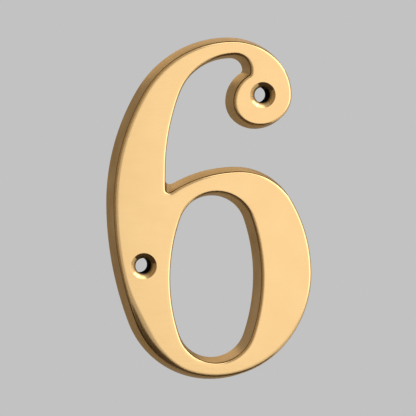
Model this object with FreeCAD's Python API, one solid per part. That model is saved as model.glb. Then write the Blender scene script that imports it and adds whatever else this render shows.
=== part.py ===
import FreeCAD, Part
import math
import os

# Overall sizes of the figure, in millimetres, measured on its back edge
height = 102.2
width = 62.0
thickness = 8.0

# Strokes: the metal between the outline and the two openings, the counter and the mouth
head_height = 38.6        # rise of the head above the crown of the bowl
stem_stroke = 19.2        # left of the counter
bowl_stroke = 17.5        # right of the counter
base_stroke = 6.7         # below the counter
crown_stroke = 8.6        # above the counter
neck_stroke = 17.8        # left of the mouth
arch_stroke = 6.3         # over the mouth

# Turning points of the outline, which give the figure its swing
waist_drop = 10.4         # leftmost point, below the crown of the bowl
crown_lead = 7.0          # crown of the bowl, right of the middle of the counter
crotch_drop = 6.1         # corner where bowl and neck meet, below the crown of the bowl
neck_rise = 5.1           # straight stretch of the neck above that corner
arch_lead = 8.3           # underside of the arch at its highest, left of the upper screw
top_lead = 9.1            # top of the figure, left of the upper screw
counter_ease = 0.83       # how long the ends of the counter are eased, as a share of its sides

# Ball that ends the arch, measured from the upper screw in its middle
ball_inset = 16.1         # screw to the right side of the figure
ball_depth = 17.1         # screw to the top of the figure
ball_left = 9.9
ball_right = 10.0
ball_below = 10.3
ball_sag = 2.0            # leftmost point of the ball, below the screw
ball_lean = 0.9           # lowest point of the ball, left of the screw
notch_left = 4.8          # corner between the ball and the arch
notch_above = 6.7

# Cast edges
draft = 9.0               # lean of every wall towards the face, in degrees
corner_radius = 1.1       # rounding in the two inward corners
face_radius = 0.7         # rolled edge of the face
back_break = 0.3          # bevel that breaks the edge of the back

# Countersunk holes for two wood screws
hole_diameter = 4.6
sink_diameter = 7.7
sink_angle = 90.0         # included angle of the countersink, in degrees
lower_hole_inset = 10.0   # from the leftmost point of the figure
lower_hole_height = 34.7

# Sizes that follow from those above
crown_height = height - head_height
counter_width = width - stem_stroke - bowl_stroke
counter_height = crown_height - base_stroke - crown_stroke
counter_x = stem_stroke + counter_width / 2
counter_z = base_stroke + counter_height / 2
ball_x = width - ball_inset
ball_z = height - ball_depth
flare = thickness * math.tan(math.radians(draft))
sink_depth = (sink_diameter - hole_diameter) / 2 / math.tan(math.radians(sink_angle / 2))

# Directions of travel round the outlines, the way the face looks, and what counts as equal
right = FreeCAD.Vector(1, 0, 0)
left = FreeCAD.Vector(-1, 0, 0)
up = FreeCAD.Vector(0, 0, 1)
down = FreeCAD.Vector(0, 0, -1)
forward = FreeCAD.Vector(0, -1, 0)
tolerance = 0.001


def place(x, z):
    # x from the left side and z from the foot, in a frame centred on the upper screw
    return FreeCAD.Vector(x - ball_x, 0, z - ball_z)


def arc(start, leaving, end):
    # Arc from start to end that leaves start in the given direction, or a line if end is dead ahead
    chord = end - start
    half = chord.Length / 2
    chord.normalize()
    if leaving.cross(chord).Length < tolerance:
        return Part.LineSegment(start, end).toShape()
    towards_middle = (leaving + chord).normalize()
    middle = start + towards_middle * (half / towards_middle.dot(chord))
    return Part.Arc(start, middle, end).toShape()


def two_arcs(start, leaving, end, arriving, ease=1.0):
    # Two arcs that meet in a common tangent; ease is the tangent length at the end over that at the start
    chord = end - start
    spread = 2 * ease * (1 - leaving.dot(arriving))
    lead = chord.dot(leaving + arriving * ease)
    reach = (math.sqrt(lead ** 2 + spread * chord.dot(chord)) - lead) / spread
    first_corner = start + leaving * reach
    second_corner = end - arriving * (reach * ease)
    crossing = second_corner - first_corner
    joint = first_corner + crossing / (1 + ease)
    return [arc(start, leaving, joint), arc(joint, crossing.normalize(), end)]


def notch():
    # Sharp corner between the underside of the arch and the ball
    return place(ball_x - notch_left, ball_z + notch_above)


def crotch():
    # Sharp corner between the bowl and the neck
    return place(neck_stroke, crown_height - crotch_drop)


def arrival(start, end, arriving):
    # Direction in which an arc leaves start if it reaches end in the direction arriving
    chord = (end - start).normalize()
    return chord * (2 * chord.dot(arriving)) - arriving


def figure_outline():
    # Back edge of the figure, anticlockwise from the left side of the ball
    ball_side = place(ball_x - ball_left, ball_z - ball_sag)
    ball_foot = place(ball_x - ball_lean, ball_z - ball_below)
    ball_back = place(ball_x + ball_right, ball_z)
    top = place(ball_x - top_lead, height)
    waist = place(0, crown_height - waist_drop)
    foot = place(counter_x, 0)
    flank = place(width, crown_height / 2)
    crown = place(counter_x + crown_lead, crown_height)
    neck = crotch() + up * neck_rise
    arch = place(ball_x - arch_lead, height - arch_stroke)

    edges = two_arcs(ball_side, down, ball_foot, right)
    edges += two_arcs(ball_foot, right, ball_back, up)
    edges += two_arcs(ball_back, up, top, left)
    edges += two_arcs(top, left, waist, down)
    edges += two_arcs(waist, down, foot, right)
    edges += two_arcs(foot, right, flank, up)
    edges += two_arcs(flank, up, crown, left)
    edges.append(arc(crown, left, crotch()))
    edges.append(arc(crotch(), up, neck))
    edges += two_arcs(neck, up, arch, right)
    edges.append(arc(arch, right, notch()))
    edges.append(arc(notch(), arrival(notch(), ball_side, down), ball_side))
    return edges


def counter_outline():
    # Oval opening in the bowl, clockwise, so that the metal is on the left of travel here too
    side = place(stem_stroke, counter_z)
    top = place(counter_x, counter_z + counter_height / 2)
    far_side = place(width - bowl_stroke, counter_z)
    foot = place(counter_x, base_stroke)
    edges = two_arcs(side, up, top, right, counter_ease)
    edges += two_arcs(top, right, far_side, down, 1 / counter_ease)
    edges += two_arcs(far_side, down, foot, left, counter_ease)
    edges += two_arcs(foot, left, side, up, 1 / counter_ease)
    return edges


def ends(edge):
    # Start and end of an edge, each with the direction of travel there
    first, last = edge.ParameterRange
    return edge.valueAt(first), edge.tangentAt(first), edge.valueAt(last), edge.tangentAt(last)


def parallel(edge, inset):
    # The same edge moved sideways by inset, into the metal
    start, leaving, end, arriving = ends(edge)
    moved_start = start + forward.cross(leaving) * inset
    moved_end = end + forward.cross(arriving) * inset
    return arc(moved_start, leaving, moved_end)


def moved_joint(before, after, inset):
    # Where two edges of an outline meet once they are moved in: a sharp corner is found again
    before_moved = parallel(before, inset)
    after_moved = parallel(after, inset)
    gap = ends(after_moved)[0] - ends(before_moved)[2]
    if gap.Length < tolerance:
        return ends(after_moved)[0]
    crossings = before_moved.Curve.intersectCC(after_moved.Curve)
    points = [FreeCAD.Vector(point.X, point.Y, point.Z) for point in crossings]
    return min(points, key=ends(after)[0].distanceToPoint)


def moved_in(outline, inset):
    # The whole outline moved into the metal, edge for edge
    joints = [moved_joint(before, after, inset) for before, after in zip(outline[-1:] + outline, outline)]
    moved = []
    for edge, start, end in zip(outline, joints, joints[1:] + joints[:1]):
        curve = parallel(edge, inset).Curve
        leaving = curve.tangent(curve.parameter(start))[0]
        moved.append(arc(start, leaving, end))
    return moved


def drafted(outline):
    # Solid between an outline on the back and the same outline, moved in by the draft, on the face
    face_edge = Part.Wire(moved_in(outline, flare))
    face_edge.translate(forward * thickness)
    return Part.makeLoft([Part.Wire(outline), face_edge], True, True)


def corner_edge(shape, corner):
    # Edge that runs from that corner of the back outline to the face
    touching = [edge for edge in shape.Edges if edge.distToShape(Part.Vertex(corner))[0] < tolerance]
    return max(touching, key=lambda edge: edge.BoundBox.YLength)


def edges_at(shape, depth):
    # Edges that lie flat at one depth
    flat = []
    for edge in shape.Edges:
        box = edge.BoundBox
        if abs(box.YMin - depth) < tolerance and abs(box.YMax - depth) < tolerance:
            flat.append(edge)
    return flat


def screw_hole(centre):
    # Shank hole right through, with the cone of the countersink at the face
    shank = Part.makeCylinder(hole_diameter / 2, thickness, centre, forward)
    cone_foot = centre + forward * (thickness - sink_depth)
    cone = Part.makeCone(hole_diameter / 2, sink_diameter / 2, sink_depth, cone_foot, forward)
    return shank.fuse(cone)


def door_number():
    # One casting: the drafted figure, its edges rounded, then drilled and countersunk
    body = drafted(figure_outline()).cut(drafted(counter_outline()))
    corners = [corner_edge(body, crotch()), corner_edge(body, notch())]
    body = body.makeFillet(corner_radius, corners)
    body = body.makeFillet(face_radius, edges_at(body, -thickness))
    body = body.makeChamfer(back_break, edges_at(body, 0))
    body = body.cut(screw_hole(place(ball_x, ball_z)))
    return body.cut(screw_hole(place(lower_hole_inset, lower_hole_height)))


os.makedirs("parts", exist_ok=True)
figure = door_number()
print("volume", round(figure.Volume), "mm3, solids", len(figure.Solids), "faces", len(figure.Faces))
figure.exportStep("parts/door_number.step")
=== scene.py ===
import math

import bmesh
import bpy
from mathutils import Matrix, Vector


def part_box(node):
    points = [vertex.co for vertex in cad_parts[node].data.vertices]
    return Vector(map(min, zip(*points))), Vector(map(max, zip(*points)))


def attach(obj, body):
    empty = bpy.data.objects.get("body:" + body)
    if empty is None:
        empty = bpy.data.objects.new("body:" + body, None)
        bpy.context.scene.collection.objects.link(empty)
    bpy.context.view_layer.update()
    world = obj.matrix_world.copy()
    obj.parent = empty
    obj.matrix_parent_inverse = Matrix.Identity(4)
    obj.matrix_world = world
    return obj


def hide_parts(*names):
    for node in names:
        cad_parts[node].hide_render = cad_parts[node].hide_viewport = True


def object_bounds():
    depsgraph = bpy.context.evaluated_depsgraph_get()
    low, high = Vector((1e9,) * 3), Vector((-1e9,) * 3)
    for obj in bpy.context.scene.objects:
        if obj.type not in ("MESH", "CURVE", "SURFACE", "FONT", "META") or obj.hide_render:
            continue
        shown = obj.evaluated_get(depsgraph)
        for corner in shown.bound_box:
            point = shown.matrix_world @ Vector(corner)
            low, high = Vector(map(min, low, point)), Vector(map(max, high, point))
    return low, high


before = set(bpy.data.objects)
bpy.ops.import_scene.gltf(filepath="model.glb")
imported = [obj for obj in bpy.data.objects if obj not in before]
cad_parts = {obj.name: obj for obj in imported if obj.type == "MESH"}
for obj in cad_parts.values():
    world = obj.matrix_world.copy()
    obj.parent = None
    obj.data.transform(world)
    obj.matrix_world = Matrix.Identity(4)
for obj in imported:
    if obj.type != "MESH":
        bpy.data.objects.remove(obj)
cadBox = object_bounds()
scene = bpy.context.scene
mm = 0.001
samePlace = 1e-6  # m, what counts as touching
print("frame loaded:", sorted(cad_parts))


def linear(hexColour):  # sRGB hex to the linear colour a shader takes
    parts = [int(hexColour[i:i + 2], 16) / 255 for i in (1, 3, 5)]
    return (*[p / 12.92 if p <= 0.04045 else ((p + 0.055) / 1.055) ** 2.4 for p in parts], 1.0)


def connect(tree, node, links):  # socket -> an output, a node for its first output, a list of them, or a value
    for socket, value in links.items():
        for source in value if isinstance(value, list) else [value]:
            if isinstance(source, bpy.types.Node):
                source = source.outputs[0]
            if isinstance(source, bpy.types.NodeSocket):
                tree.links.new(source, node.inputs[socket])
            else:
                node.inputs[socket].default_value = source


def addNode(tree, kind, links=None, **settings):
    node = tree.nodes.new(kind)
    for name, value in settings.items():
        setattr(node, name, value)
    connect(tree, node, links or {})
    return node


# brass: one cast metal in three finishes, told apart by height above the back and inside the holes
brass = {
    "face": "#F2CC93",            # buffed face, pale gold
    "faceDeep": "#ECC488",        # the same where the buffing left it a little warmer
    "faceEdge": "#FFE2B0",        # the metal seen edge-on stays warm
    "faceRough": (0.10, 0.16),
    "wall": "#C2A27B",            # cast sides, duller and browner
    "wallDeep": "#AE8E68",        # tarnish in the low spots of the casting skin
    "wallEdge": "#D9C6A8",
    "wallRough": (0.28, 0.44),
    "patches": (0.12, 0.38),      # noise levels between which the tarnish gives way
    "sink": "#DDB982",            # turned countersinks, left as they were cut
    "sinkRough": 0.12,
    "boreShade": "#3A2814",            # drilled holes behind them, never polished; their dark colour is painted shade inside the holes
    "boreRough": 0.5,
    "holeShadeTop": 7.45,              # mm above the back, where painted shade begins down the cones
    "holeShadeFade": 0.6,              # mm from there down to the full painted shade
    "darkLine": "#4A3218",           # two thin dark lines along the sides: the upper one is painted dark reflection rising to where the buffing begins, the lower one runs along the back edge
    "darkLineShare": 0.9,            # how far they hide the metal
    "backLine": (0.45, 0.1125),  # mm above the back, where the lower line begins and is darkest
    "backLineEnd": (0.06, 0.02),     # mm above the back, where it stops, as the flat back has none
    "paintedReflectionWidth": 0.35,          # mm, the upper line of painted dark reflection, rising to where the buffing begins
    "buffFoot": 7.4,              # mm above the back, where the wheel began to touch the rolled edge
    "buffTop": 7.85,              # and where it had polished it through
    "waveSpan": 9.0,              # mm, slow unevenness left by hand buffing
    "waveRelief": (0.15, 0.05),   # bump strength, and mm deep
    "buffLines": 0.35,            # mm between buffing lines, really finer, drawn as coarse as shows
    "lineStretch": 0.04,          # they run along X
    "lineRelief": (0.2, 0.002),
    "castGrain": 0.45,            # mm, sand grain of the sides
    "grainRelief": (0.35, 0.03),
    "turnPitch": 0.22,            # mm between turning rings, really finer, drawn as coarse as shows
    "turnRelief": (0.4, 0.008),
}


def castBrass(spec):  # cast brass: mirror-warm on the buffed face, satin and brown on the unbuffed sides
    material = bpy.data.materials.new("castBrassBuffed")
    material.use_nodes = True
    tree = material.node_tree
    tree.nodes.clear()
    where = addNode(tree, "ShaderNodeTexCoord").outputs["Object"]
    turned = addNode(tree, "ShaderNodeAttribute", attribute_name="turned").outputs["Fac"]  # 1 inside the holes
    depth = addNode(tree, "ShaderNodeSeparateXYZ", {"Vector": where}).outputs["Y"]  # 0 on the back
    buffed = addNode(tree, "ShaderNodeMapRange", {
        "Value": depth, "From Min": -spec["buffFoot"] * mm, "From Max": -spec["buffTop"] * mm},
        interpolation_type="SMOOTHSTEP")
    # deeper in the holes: the colour turns to painted shade, and the drilled bore is rougher
    deepInHole = addNode(tree, "ShaderNodeMapRange", {
        "Value": depth, "From Min": -spec["holeShadeTop"] * mm,
        "From Max": (spec["holeShadeFade"] - spec["holeShadeTop"]) * mm})

    # patterns
    slow = addNode(tree, "ShaderNodeTexNoise", {
        "Vector": where, "Scale": 1 / (spec["waveSpan"] * mm), "Detail": 2.0, "Roughness": 0.5})
    grain = addNode(tree, "ShaderNodeTexNoise", {
        "Vector": where, "Scale": 1 / (spec["castGrain"] * mm), "Detail": 3.0, "Roughness": 0.6})
    stretched = addNode(tree, "ShaderNodeMapping", {
        "Vector": where, "Scale": (spec["lineStretch"], 1.0, 1.0)})
    lines = addNode(tree, "ShaderNodeTexNoise", {
        "Vector": stretched, "Scale": 1 / (spec["buffLines"] * mm), "Detail": 2.0})
    rings = addNode(tree, "ShaderNodeTexWave", {  # its bands are pi / 10 apart at scale 1
        "Vector": where, "Scale": math.pi / 10 / (spec["turnPitch"] * mm)}, bands_direction="Y")

    # dark lines on the sides: a thin dark line along the back edge, and painted dark reflection rising to
    # where the buffing begins
    backLineFrom, backLineFull = spec["backLine"]
    darkLine = addNode(tree, "ShaderNodeMapRange", {
        "Value": depth, "From Min": -backLineFrom * mm, "From Max": -backLineFull * mm},
        interpolation_type="SMOOTHSTEP")
    endFrom, endFull = spec["backLineEnd"]
    offBack = addNode(tree, "ShaderNodeMapRange", {
        "Value": depth, "From Min": -endFrom * mm, "From Max": -endFull * mm, "To Min": 1.0, "To Max": 0.0})
    backLineMask = addNode(tree, "ShaderNodeMath", {0: darkLine, 1: offBack}, operation="MULTIPLY")
    paintedDarkReflection = addNode(tree, "ShaderNodeMapRange", {
        "Value": depth, "From Min": (spec["paintedReflectionWidth"] - spec["buffFoot"]) * mm,
        "From Max": -spec["buffFoot"] * mm}, interpolation_type="SMOOTHSTEP")
    dark = addNode(tree, "ShaderNodeMath", {0: backLineMask, 1: paintedDarkReflection}, operation="MAXIMUM")
    darkShare = addNode(tree, "ShaderNodeMath", {0: dark, 1: spec["darkLineShare"]}, operation="MULTIPLY")

    # colours; a Mix node's factor is socket 0, its colours are 6 and 7 and its numbers 2 and 3
    faceTone = addNode(tree, "ShaderNodeMix", {
        0: slow, 6: linear(spec["faceDeep"]), 7: linear(spec["face"])}, data_type="RGBA")
    patchy = addNode(tree, "ShaderNodeMath", {0: grain, 1: slow}, operation="MULTIPLY")
    patches = addNode(tree, "ShaderNodeMapRange", {
        "Value": patchy, "From Min": spec["patches"][0], "From Max": spec["patches"][1]})
    wallTone = addNode(tree, "ShaderNodeMix", {
        0: patches, 6: linear(spec["wallDeep"]), 7: linear(spec["wall"])}, data_type="RGBA")
    # the sides darkened by the back-edge line and by the painted dark reflection
    sideTone = addNode(tree, "ShaderNodeMix", {
        0: darkShare, 6: wallTone.outputs[2], 7: linear(spec["darkLine"])}, data_type="RGBA")
    castTone = addNode(tree, "ShaderNodeMix", {
        0: buffed, 6: sideTone.outputs[2], 7: faceTone.outputs[2]}, data_type="RGBA")
    # turned countersinks fading into painted shade deeper in the holes
    holeTone = addNode(tree, "ShaderNodeMix", {
        0: deepInHole, 6: linear(spec["sink"]), 7: linear(spec["boreShade"])}, data_type="RGBA")
    tone = addNode(tree, "ShaderNodeMix", {
        0: turned, 6: castTone.outputs[2], 7: holeTone.outputs[2]}, data_type="RGBA")

    # the same for the metal seen edge-on
    # the dark lines, painted dark reflection among them, in the edge-on colour too
    sideEdge = addNode(tree, "ShaderNodeMix", {
        0: darkShare, 6: linear(spec["wallEdge"]), 7: linear(spec["darkLine"])}, data_type="RGBA")
    castEdge = addNode(tree, "ShaderNodeMix", {
        0: buffed, 6: sideEdge.outputs[2], 7: linear(spec["faceEdge"])}, data_type="RGBA")
    # the painted shade down the holes reaches the edge-on colour too
    holeShade = addNode(tree, "ShaderNodeMath", {0: deepInHole, 1: turned}, operation="MULTIPLY")
    edge = addNode(tree, "ShaderNodeMix", {
        0: holeShade, 6: castEdge.outputs[2], 7: linear(spec["boreShade"])}, data_type="RGBA")

    # gloss
    faceRough = addNode(tree, "ShaderNodeMapRange", {
        "Value": lines, "To Min": spec["faceRough"][0], "To Max": spec["faceRough"][1]})
    wallRough = addNode(tree, "ShaderNodeMapRange", {
        "Value": grain, "To Min": spec["wallRough"][0], "To Max": spec["wallRough"][1]})
    castRough = addNode(tree, "ShaderNodeMix", {0: buffed, 2: wallRough, 3: faceRough}, data_type="FLOAT")
    holeRough = addNode(tree, "ShaderNodeMix", {
        0: deepInHole, 2: spec["sinkRough"], 3: spec["boreRough"]}, data_type="FLOAT")
    rough = addNode(tree, "ShaderNodeMix", {0: turned, 2: castRough, 3: holeRough}, data_type="FLOAT")

    # relief, each bump on top of the one before
    unbuffed = addNode(tree, "ShaderNodeMath", {0: 1.0, 1: buffed}, operation="SUBTRACT")
    lineHeight = addNode(tree, "ShaderNodeMath", {0: lines, 1: buffed}, operation="MULTIPLY")
    grainHeight = addNode(tree, "ShaderNodeMath", {0: grain, 1: unbuffed}, operation="MULTIPLY")
    ringHeight = addNode(tree, "ShaderNodeMath", {0: rings.outputs["Fac"], 1: turned}, operation="MULTIPLY")
    relief = None
    for height, name in ((slow, "waveRelief"), (lineHeight, "lineRelief"),
                         (grainHeight, "grainRelief"), (ringHeight, "turnRelief")):
        strength, deep = spec[name]
        under = {"Normal": relief} if relief else {}
        relief = addNode(tree, "ShaderNodeBump", {
            "Height": height, "Strength": strength, "Distance": deep * mm, **under})

    shader = addNode(tree, "ShaderNodeBsdfPrincipled", {
        "Base Color": tone.outputs[2], "Metallic": 1.0, "Roughness": rough,
        "Specular Tint": edge.outputs[2], "Normal": relief})
    addNode(tree, "ShaderNodeOutputMaterial", {"Surface": shader})
    print("brass mixed:", len(tree.nodes), "nodes")
    return material


# casting: the figure's edge section, swept round the outlines that the solid has on its back and its face
casting = {
    "draft": 9.0,             # degrees that the sides lean in
    "backBreak": 0.3,         # mm, bevelled back edge
    "solidRoll": 0.7,         # mm, rolled face edge of the solid
    "faceRoll": 0.72,         # mm, the same as it looks
    "rollPoints": 6,          # points on each rounding
    "buffWidth": 1.5,         # mm beside the edge that buffing has taken down
    "buffDrop": 0.022,        # mm taken off at the edge
    "buffFade": 2.8,          # how steeply that ends towards the middle
    "stripShares": (0.46, 0.55, 0.64, 0.73, 0.82, 0.91, 1.0),  # points across that strip
    "wearStretch": 2.0,       # how much wider the strip is at the lower left, where the wheel dwelt
    "wearDrop": 0.28,         # mm more taken off there
    "wearHeight": -71.0,      # mm, middle of that place
    "wearSpan": 9.0,          # mm up and down from it
    "wearTurn": (0.3, 0.65),  # how far an edge looks to the left where the wear begins and is full
    "landing": 0.15,          # mm of true flat beside a swept edge
    "step": 0.28,             # mm between points along the outline
    "sinkDiameter": 7.7,      # mm, countersink at the face
    "sinkDepth": 1.15,        # mm, eased by the polishing to a shallower cone than it was bored
    "rimBreak": 0.12,         # mm, broken edge of the countersink
    "rimPoints": 120,         # points round a hole
    "largestHole": 12.0,      # mm, a wider loop is an outline
    "holeMargin": 0.02,       # mm inside a hole's edge, where its turned finish begins
    "weld": 0.002,            # mm, points nearer than this become one
}


def flatLoops(node, depth):  # loops round the flat at that depth, metal on the left as seen from the front
    mesh = bmesh.new()
    mesh.from_mesh(node.data)
    bmesh.ops.remove_doubles(mesh, verts=mesh.verts, dist=samePlace)
    flat = {}  # a dictionary keeps its order, so every run begins alike
    for face in mesh.faces:
        if all(abs(v.co.y - depth) < samePlace for v in face.verts):
            flat[face] = True
    follows = {}
    for face in flat:
        for loop in face.loops:
            if not any(f in flat for f in loop.edge.link_faces if f is not face):
                ends = (loop.vert, loop.link_loop_next.vert)
                start, end = ends if face.normal.y < 0 else ends[::-1]
                follows[start] = end
    loops = []
    while follows:
        vert, after = follows.popitem()
        ring = [vert.co.copy()]
        while after in follows:
            ring.append(after.co.copy())
            after = follows.pop(after)
        ring = [Vector((p.x, p.z)) for p in ring]
        top = max(range(len(ring)), key=lambda i: (ring[i].y, ring[i].x))
        loops.append(ring[top:] + ring[:top])
    mesh.free()
    return sorted(loops, key=across, reverse=True)


def across(ring):  # widest reach of a loop from its first point
    return max((p - ring[0]).length for p in ring)


def smoothed(ring, step):  # evenly spaced points on a smooth closed curve through a loop's corners
    dense = []
    for i in range(len(ring)):
        p0, p1, p2, p3 = (ring[(i + k) % len(ring)] for k in (-1, 0, 1, 2))
        d0, d1, d2 = (p1 - p0).length, (p2 - p1).length, (p3 - p2).length
        m1 = ((p1 - p0) * (d1 / d0) + (p2 - p1) * (d0 / d1)) / (d0 + d1)
        m2 = ((p2 - p1) * (d2 / d1) + (p3 - p2) * (d1 / d2)) / (d1 + d2)
        count = max(4, round(8 * d1 / step))  # about eight samples to a step
        for t in (k / count for k in range(count)):
            dense.append(p1 * (1 + 2 * t) * (1 - t) ** 2 + m1 * d1 * t * (1 - t) ** 2
                         + p2 * t * t * (3 - 2 * t) - m2 * d1 * t * t * (1 - t))
    along = [0.0]
    for p, q in zip(dense, dense[1:] + dense[:1]):
        along.append(along[-1] + (q - p).length)
    total, points, k = round(along[-1] / step), [], 0
    for i in range(total):
        wanted = along[-1] * i / total
        while along[k + 1] < wanted:
            k += 1
        share = (wanted - along[k]) / (along[k + 1] - along[k])
        points.append(dense[k].lerp(dense[(k + 1) % len(dense)], share))
    return points


def travel(ring, i):  # direction of travel at one point
    return (ring[(i + 1) % len(ring)] - ring[i - 1]).normalized()


def turns(ring):  # places where the travel swings through one of four slanting directions, from the top
    top = max(range(len(ring)), key=lambda i: ring[i].y)
    slope = math.radians(40)  # clear of the upright and level stretches
    slant = Vector((math.cos(slope), math.sin(slope)))
    found, last = [], None
    for i in range(top, top + len(ring)):
        way = travel(ring, i % len(ring))
        quarter = (way.dot(slant) > 0, way.cross(slant) > 0)
        if last is not None and quarter != last:
            found.append(i)
        last = quarter
    return found + [found[0] + len(ring)]


def facing(ring, partner):  # for each point of a loop, the point across the wall and the way into the face
    here, there = turns(ring), turns(partner)
    assert len(here) == len(there), (len(here), len(there))
    pairs = {}
    for start, end, first, last in zip(here, here[1:], there, there[1:]):
        for i in range(start, end):
            spot = first + (last - first) * (i - start) / (end - start)
            share = spot - int(spot)
            before, after = int(spot) % len(partner), (int(spot) + 1) % len(partner)
            way = travel(partner, before).lerp(travel(partner, after), share)
            opposite = partner[before].lerp(partner[after], share)
            pairs[i % len(ring)] = (opposite, Vector((-way.y, way.x)).normalized())
    return [pairs[i] for i in range(len(ring))]


def wearAt(point, faceIn, spec):  # 1 where the wheel dwelt on the outer edge, 0 away from it
    begins, full = spec["wearTurn"]
    side = min(1.0, max(0.0, (faceIn.x - begins) / (full - begins)))
    off = (point.y - spec["wearHeight"] * mm) / (spec["wearSpan"] * mm)
    return side * side * (3 - 2 * side) * math.exp(-off ** 2)


def outlineMesh(backEdges, faceEdges, holes, spec, sizes):  # outlines as edges, holes as loose points
    points, edges, lean, inward, stretch, sink = [], [], [], [], [], []
    for ring, partner in zip(backEdges, faceEdges):
        first = len(points)
        points += [(p.x, p.y, 0) for p in ring]
        edges += [(first + i, first + (i + 1) % len(ring)) for i in range(len(ring))]
        for p, (opposite, faceIn) in zip(ring, facing(ring, partner)):
            wear = wearAt(p, faceIn, spec) if ring is backEdges[0] else 0.0
            lean += [*((opposite - p - faceIn * sizes["Roll Width"]) / sizes["Wall Lean"]), 0]
            inward += [*faceIn, 0]
            stretch.append(1 + wear * spec["wearStretch"])
            sink.append(-(spec["buffDrop"] + wear * spec["wearDrop"]) * mm / sizes["Thickness"])
    for ring in holes:
        points.append((*(sum(ring, Vector((0, 0))) / len(ring)), 0))
        lean += [0, 0, 0]
        inward += [0, 0, 0]
        stretch.append(1)
        sink.append(0)
    mesh = bpy.data.meshes.new("doorNumber")
    mesh.from_pydata(points, edges, [])
    for name, kind, field, numbers in (
            ("lean", "FLOAT_VECTOR", "vector", lean), ("faceIn", "FLOAT_VECTOR", "vector", inward),
            ("stripStretch", "FLOAT", "value", stretch), ("stripSink", "FLOAT", "value", sink)):
        mesh.attributes.new(name, kind, "POINT").data.foreach_set(field, numbers)
    print("outline:", len(points), "points")
    return mesh


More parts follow.
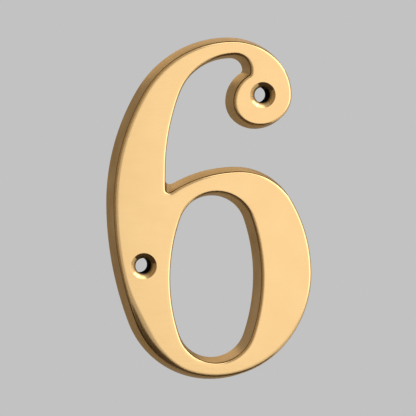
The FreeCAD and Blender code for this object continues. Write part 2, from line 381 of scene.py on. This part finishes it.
def castingTree(spec, names, material):  # outline in, casting out; drawn flat with its face up, then stood up
    tree = bpy.data.node_groups.new("castingFromOutline", "GeometryNodeTree")
    tree.interface.new_socket("Outline", in_out="INPUT", socket_type="NodeSocketGeometry")
    for name in names:
        tree.interface.new_socket(name, in_out="INPUT", socket_type="NodeSocketFloat")
    tree.interface.new_socket("Casting", in_out="OUTPUT", socket_type="NodeSocketGeometry")
    given = addNode(tree, "NodeGroupInput").outputs
    position = addNode(tree, "GeometryNodeInputPosition")
    carried = {}  # values that travel with the points
    for name in ("inset", "height", "stripStretch", "stripSink", "start", "lean", "faceIn"):
        kind = "FLOAT_VECTOR" if name in ("start", "lean", "faceIn") else "FLOAT"
        carried[name] = addNode(tree, "GeometryNodeInputNamedAttribute", {"Name": name}, data_type=kind)

    def section(corners):  # open line through (inset, height, rounding), the first two kept as attributes
        line = addNode(tree, "GeometryNodeMeshLine", {"Count": len(corners)})
        index = addNode(tree, "GeometryNodeInputIndex")
        spots = addNode(tree, "GeometryNodeIndexSwitch", data_type="VECTOR")
        rounds = addNode(tree, "GeometryNodeIndexSwitch", data_type="FLOAT")
        for switch in (spots, rounds):
            while len(switch.index_switch_items) < len(corners):
                switch.index_switch_items.new()
            connect(tree, switch, {0: index})
        for i, (inset, height, rounding) in enumerate(corners, start=1):
            connect(tree, spots, {i: addNode(tree, "ShaderNodeCombineXYZ", {0: inset, 1: height})})
            connect(tree, rounds, {i: rounding})
        spread = addNode(tree, "GeometryNodeSetPosition", {"Geometry": line, "Position": spots})
        curve = addNode(tree, "GeometryNodeMeshToCurve", {0: spread})
        soft = addNode(tree, "GeometryNodeFilletCurve", {
            0: curve, 1: spec["rollPoints"], "Radius": rounds, "Limit Radius": True}, mode="POLY")
        parts = addNode(tree, "ShaderNodeSeparateXYZ", {0: position}).outputs
        for name, value in (("inset", parts[0]), ("height", parts[1])):
            soft = addNode(tree, "GeometryNodeStoreNamedAttribute", {
                "Geometry": soft, "Name": name, "Value": value}, data_type="FLOAT", domain="POINT")
        return soft

    def placed(geometry, inset, height):  # over the wall and the roll, then along the face, sunk where worn
        onWall = addNode(tree, "ShaderNodeMath", {0: inset, 1: given["Wall Lean"]}, operation="MINIMUM")
        onRoll = addNode(tree, "ShaderNodeMapRange", {
            "Value": inset, "From Min": given["Wall Lean"], "From Max": given["Face Edge"],
            "To Max": given["Roll Width"]})
        onStrip = addNode(tree, "ShaderNodeMapRange", {
            "Value": inset, "From Min": given["Face Edge"], "From Max": given["Strip End"],
            "To Max": given["Strip Width"]})
        toGo = addNode(tree, "ShaderNodeMapRange", {
            "Value": inset, "From Min": given["Face Edge"], "From Max": given["Strip End"],
            "To Min": 1.0, "To Max": 0.0})
        inward = addNode(tree, "ShaderNodeMath", {
            0: onStrip, 1: carried["stripStretch"], 2: onRoll}, operation="MULTIPLY_ADD")
        faded = addNode(tree, "ShaderNodeMath", {0: toGo, 1: spec["buffFade"]}, operation="POWER")
        sink = addNode(tree, "ShaderNodeMath", {0: faded, 1: carried["stripSink"]}, operation="MULTIPLY")
        sunk = addNode(tree, "ShaderNodeMath", {0: sink, 1: height, 2: height}, operation="MULTIPLY_ADD")
        overWall = addNode(tree, "ShaderNodeVectorMath", {
            0: carried["lean"], 1: onWall, 2: carried["start"]}, operation="MULTIPLY_ADD")
        overFace = addNode(tree, "ShaderNodeVectorMath", {
            0: carried["faceIn"], 1: inward, 2: overWall}, operation="MULTIPLY_ADD")
        lift = addNode(tree, "ShaderNodeCombineXYZ", {2: sunk})
        return addNode(tree, "GeometryNodeSetPosition", {
            "Geometry": geometry, "Position": overFace, "Offset": lift})

    def swept(loops, profile):
        swathe = addNode(tree, "GeometryNodeCurveToMesh", {"Curve": loops, "Profile Curve": profile})
        return placed(swathe, carried["inset"], carried["height"])

    # sides: flat back, bevelled edge, drafted wall, rolled edge, buffed-down strip, flat face
    drawn = addNode(tree, "GeometryNodeMeshToCurve", {0: given["Outline"]})
    outline = addNode(tree, "GeometryNodeStoreNamedAttribute", {
        "Geometry": drawn, "Name": "start", "Value": position}, data_type="FLOAT_VECTOR", domain="POINT")
    sideCorners = [
        (given["Landing"], 0.0, 0.0),
        (0.0, 0.0, given["Rim Break"]),
        (given["Bevel In"], given["Bevel Up"], given["Rim Break"]),
        (given["Face Corner"], given["Thickness"], given["Face Roll"]),
    ]
    for share in spec["stripShares"]:
        reach = addNode(tree, "ShaderNodeMath", {
            0: given["Buff Width"], 1: share, 2: given["Face Corner"]}, operation="MULTIPLY_ADD")
        sideCorners.append((reach, given["Thickness"], 0.0))
    sides = swept(outline, section(sideCorners))

    # screw holes: a circle at each loose point, its section running from the back to the countersink
    neighbours = addNode(tree, "GeometryNodeInputMeshVertexNeighbors")
    loose = addNode(tree, "FunctionNodeCompare", {2: neighbours, 3: 0}, data_type="INT", operation="EQUAL")
    middles = addNode(tree, "GeometryNodeMeshToPoints", {0: given["Outline"], 1: loose})
    rim = addNode(tree, "GeometryNodeCurvePrimitiveCircle", {
        "Resolution": spec["rimPoints"], "Radius": given["Sink Radius"]})
    outward = addNode(tree, "ShaderNodeVectorMath", {0: position}, operation="NORMALIZE")
    for name in ("lean", "faceIn"):
        rim = addNode(tree, "GeometryNodeStoreNamedAttribute", {
            "Geometry": rim, "Name": name, "Value": outward}, data_type="FLOAT_VECTOR", domain="POINT")
    copies = addNode(tree, "GeometryNodeInstanceOnPoints", {0: middles, "Instance": rim})
    realRims = addNode(tree, "GeometryNodeRealizeInstances", {0: copies})
    rims = addNode(tree, "GeometryNodeStoreNamedAttribute", {
        "Geometry": realRims, "Name": "start", "Value": position}, data_type="FLOAT_VECTOR", domain="POINT")
    holes = swept(rims, section([
        (given["Shank Flat"], 0.0, 0.0),
        (given["Shank In"], 0.0, given["Rim Break"]),
        (given["Shank In"], given["Sink Foot"], given["Rim Break"]),
        (0.0, given["Thickness"], given["Rim Break"]),
        (given["Landing"], given["Thickness"], 0.0),
        (given["Rim Flat"], given["Thickness"], 0.0),
    ]))
    offFace = addNode(tree, "ShaderNodeMath", {
        0: carried["inset"], 1: spec["holeMargin"] * mm}, operation="LESS_THAN")
    offBack = addNode(tree, "ShaderNodeMath", {
        0: carried["height"], 1: spec["holeMargin"] * mm}, operation="GREATER_THAN")
    inside = addNode(tree, "ShaderNodeMath", {0: offFace, 1: offBack}, operation="MULTIPLY")
    bores = addNode(tree, "GeometryNodeStoreNamedAttribute", {
        "Geometry": holes, "Name": "turned", "Value": inside}, data_type="FLOAT", domain="POINT")

    # flat back and flat face between the swept edges
    pieces = [sides, bores]
    for outlineInset, rimInset, level in (
            ("Landing", "Shank Flat", 0.0), ("Strip End", "Rim Flat", given["Thickness"])):
        borders = addNode(tree, "GeometryNodeJoinGeometry", {
            0: [placed(outline, given[outlineInset], 0.0), placed(rims, given[rimInset], 0.0)]})
        filled = addNode(tree, "GeometryNodeFillCurve", {0: borders}, mode="TRIANGLES")
        lift = addNode(tree, "ShaderNodeCombineXYZ", {2: level})
        pieces.append(addNode(tree, "GeometryNodeTransform", {0: filled, "Translation": lift}))

    whole = addNode(tree, "GeometryNodeJoinGeometry", {0: pieces})
    welded = addNode(tree, "GeometryNodeMergeByDistance", {0: whole, "Distance": spec["weld"] * mm})
    stood = addNode(tree, "GeometryNodeTransform", {0: welded, "Rotation": (math.radians(90), 0, 0)})
    shaded = addNode(tree, "GeometryNodeSetShadeSmooth", {0: stood})
    real = addNode(tree, "GeometryNodeRealizeInstances", {0: shaded})
    dressed = addNode(tree, "GeometryNodeSetMaterial", {0: real, "Material": material})
    addNode(tree, "NodeGroupOutput", {0: dressed})
    return tree


def doorNumber(spec, material):
    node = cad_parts["door_number"]
    low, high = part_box("door_number")
    backRings, faceRings = flatLoops(node, high.y), flatLoops(node, low.y)
    backEdges = [smoothed(ring, spec["step"] * mm) for ring in backRings[:2]]
    faceEdges = [smoothed(ring, spec["step"] * mm) for ring in faceRings[:2]]
    holes = [ring for ring in backRings if across(ring) < spec["largestHole"] * mm]

    # insets run in from the outline on the back, heights up from the back
    draft = math.radians(spec["draft"])
    thickness = high.y - low.y
    faceCorner = thickness * math.tan(draft) - spec["backBreak"] * mm  # wall and face would meet here
    rollReach = spec["solidRoll"] * mm * math.tan((math.pi / 2 - draft) / 2)  # from there to the roll's ends
    shankIn = min(across(ring) for ring in holes) / 2 - spec["sinkDiameter"] / 2 * mm
    sizes = {
        "Thickness": thickness,
        "Bevel In": spec["backBreak"] * mm * (math.sin(draft) - 1),
        "Bevel Up": spec["backBreak"] * mm * math.cos(draft),
        "Face Corner": faceCorner,
        "Wall Lean": faceCorner - rollReach * math.sin(draft),
        "Roll Width": spec["solidRoll"] * mm * math.cos(draft),
        "Face Edge": faceCorner + rollReach,
        "Face Roll": spec["faceRoll"] * mm,
        "Buff Width": spec["buffWidth"] * mm,
        "Strip Width": spec["buffWidth"] * mm - rollReach,
        "Strip End": faceCorner + spec["buffWidth"] * mm,
        "Landing": spec["landing"] * mm,
        "Shank In": shankIn,
        "Shank Flat": shankIn + spec["landing"] * mm,
        "Sink Radius": spec["sinkDiameter"] / 2 * mm,
        "Sink Foot": thickness - spec["sinkDepth"] * mm,
        "Rim Flat": 2 * spec["landing"] * mm,
        "Rim Break": spec["rimBreak"] * mm,
    }
    drawing = bpy.data.objects.new("outlineDrawing", outlineMesh(backEdges, faceEdges, holes, spec, sizes))
    scene.collection.objects.link(drawing)
    tree = castingTree(spec, sizes, material)
    modifier = drawing.modifiers.new("casting", "NODES")
    modifier.node_group = tree
    for item in tree.interface.items_tree:
        if item.name in sizes:
            modifier[item.identifier] = sizes[item.name]
    made = bpy.data.meshes.new_from_object(drawing.evaluated_get(bpy.context.evaluated_depsgraph_get()))
    bpy.data.objects.remove(drawing)
    mesh = bmesh.new()
    mesh.from_mesh(made)
    bmesh.ops.recalc_face_normals(mesh, faces=mesh.faces)
    openEdges = sum(not e.is_manifold for e in mesh.edges)
    mesh.to_mesh(made)
    mesh.free()
    piece = bpy.data.objects.new("doorNumber", made)
    scene.collection.objects.link(piece)
    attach(piece, "root")
    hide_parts("door_number")
    print("casting:", len(made.polygons), "faces, open edges", openEdges)


doorNumber(casting, castBrass(brass))

# studio: pale floor below, soft lamps in front, right, above and behind, muted cards left, above and below
studio = {
    "backdrop": "#C2C2C2",
    "floor": "#D8D8D6",
    "floorRough": 0.9,
    "floorSize": 2.4,         # m
    "floorDrop": 0.16,        # m below the figure
    "lamps": {                # degrees round to the right and up, m away, m wide and high, W
        "keySoftbox": (31.0, 4.0, 1.1, (1.0, 1.1), 2.15),
        "rightSoftbox": (52.0, 5.0, 1.0, (1.1, 0.9), 2.6),
        "topSoftbox": (38.0, 58.0, 0.9, (0.8, 0.4), 1.6),
        "sideStrip": (80.0, 40.0, 0.9, (0.5, 0.5), 1.7),
        "backTop": (175.0, 26.0, 0.9, (0.7, 0.25), 0.75),
    },
    "cards": {                # degrees round and up, m away, m wide and high
        "leftCard": (-56.0, 10.0, 0.5, (0.93, 1.07)),
        "overCard": (180.0, 76.0, 0.5, (0.6, 0.26)),
    },
    "flatCards": {            # m right and back, m wide and deep
        "underCard": (-0.19, -0.12, 0.62, 0.2),
        "frontCard": (-0.04, -0.37, 0.3, 0.3),
    },
    "flatDrop": 0.1,          # m below the figure
    "cardCloth": "#B8A88F",
    "flatCloth": "#463D34",
    "clothRough": 1.0,
}


def towards(azimuth, elevation):  # unit vector from the figure; azimuth 0 is straight out of the face
    a, e = math.radians(azimuth), math.radians(elevation)
    return Vector((math.sin(a) * math.cos(e), -math.cos(a) * math.cos(e), math.sin(e)))


def lookBack(item, target, direction, reach):  # put it that way from the target and turn it to face it
    item.location = target + direction * reach
    item.rotation_mode = "QUATERNION"
    item.rotation_quaternion = direction.to_track_quat("Z", "Y")
    scene.collection.objects.link(item)


def rectangle(name, wide, high, colour, rough):  # flat stage piece in one matt colour
    mesh = bpy.data.meshes.new(name)
    corners = [(x * wide / 2, y * high / 2, 0) for x, y in ((-1, -1), (1, -1), (1, 1), (-1, 1))]
    mesh.from_pydata(corners, [], [(0, 1, 2, 3)])
    material = bpy.data.materials.new(name + "Matt")
    material.use_nodes = True
    shader = material.node_tree.nodes["Principled BSDF"]
    shader.inputs["Base Color"].default_value = linear(colour)
    shader.inputs["Roughness"].default_value = rough
    mesh.materials.append(material)
    return bpy.data.objects.new(name, mesh)


low, high = cadBox
middle = (low + high) / 2
for name, (azimuth, elevation, reach, size, power) in studio["lamps"].items():
    light = bpy.data.lights.new(name, "AREA")
    light.shape = "RECTANGLE"
    light.size, light.size_y = size
    light.energy = power
    lookBack(bpy.data.objects.new(name, light), middle, towards(azimuth, elevation), reach)
for name, (azimuth, elevation, reach, size) in studio["cards"].items():
    card = rectangle(name, *size, studio["cardCloth"], studio["clothRough"])
    lookBack(card, middle, towards(azimuth, elevation), reach)
    card.visible_camera = False
for name, (right, back, wide, deep) in studio["flatCards"].items():
    card = rectangle(name, wide, deep, studio["flatCloth"], studio["clothRough"])
    card.location = (right, back, low.z - studio["flatDrop"])
    card.visible_camera = False
    scene.collection.objects.link(card)
floor = rectangle("floor", studio["floorSize"], studio["floorSize"], studio["floor"], studio["floorRough"])
floor.location.z = low.z - studio["floorDrop"]
scene.collection.objects.link(floor)

world = bpy.data.worlds.new("studio")
world.use_nodes = True
world.node_tree.nodes["Background"].inputs["Color"].default_value = linear(studio["backdrop"])
scene.world = world
scene.view_settings.view_transform = "Standard"
print("studio set:", len(studio["lamps"]), "lamps")

# view: long lens a little to the left, where the figure was photographed from
view = {
    "azimuth": -11.0,
    "elevation": 3.0,
    "distance": 1.013,            # m
    "aim": (-15.8, -4.0, -33.6),  # mm
    "lens": 294.7,                # mm, on a sensor as wide as
    "sensor": 36.0,
}
cameraData = bpy.data.cameras.new("camera")
cameraData.lens = view["lens"]
cameraData.sensor_width = view["sensor"]
camera = bpy.data.objects.new("camera", cameraData)
lookBack(camera, Vector(view["aim"]) * mm, towards(view["azimuth"], view["elevation"]), view["distance"])
scene.camera = camera
print("camera set")
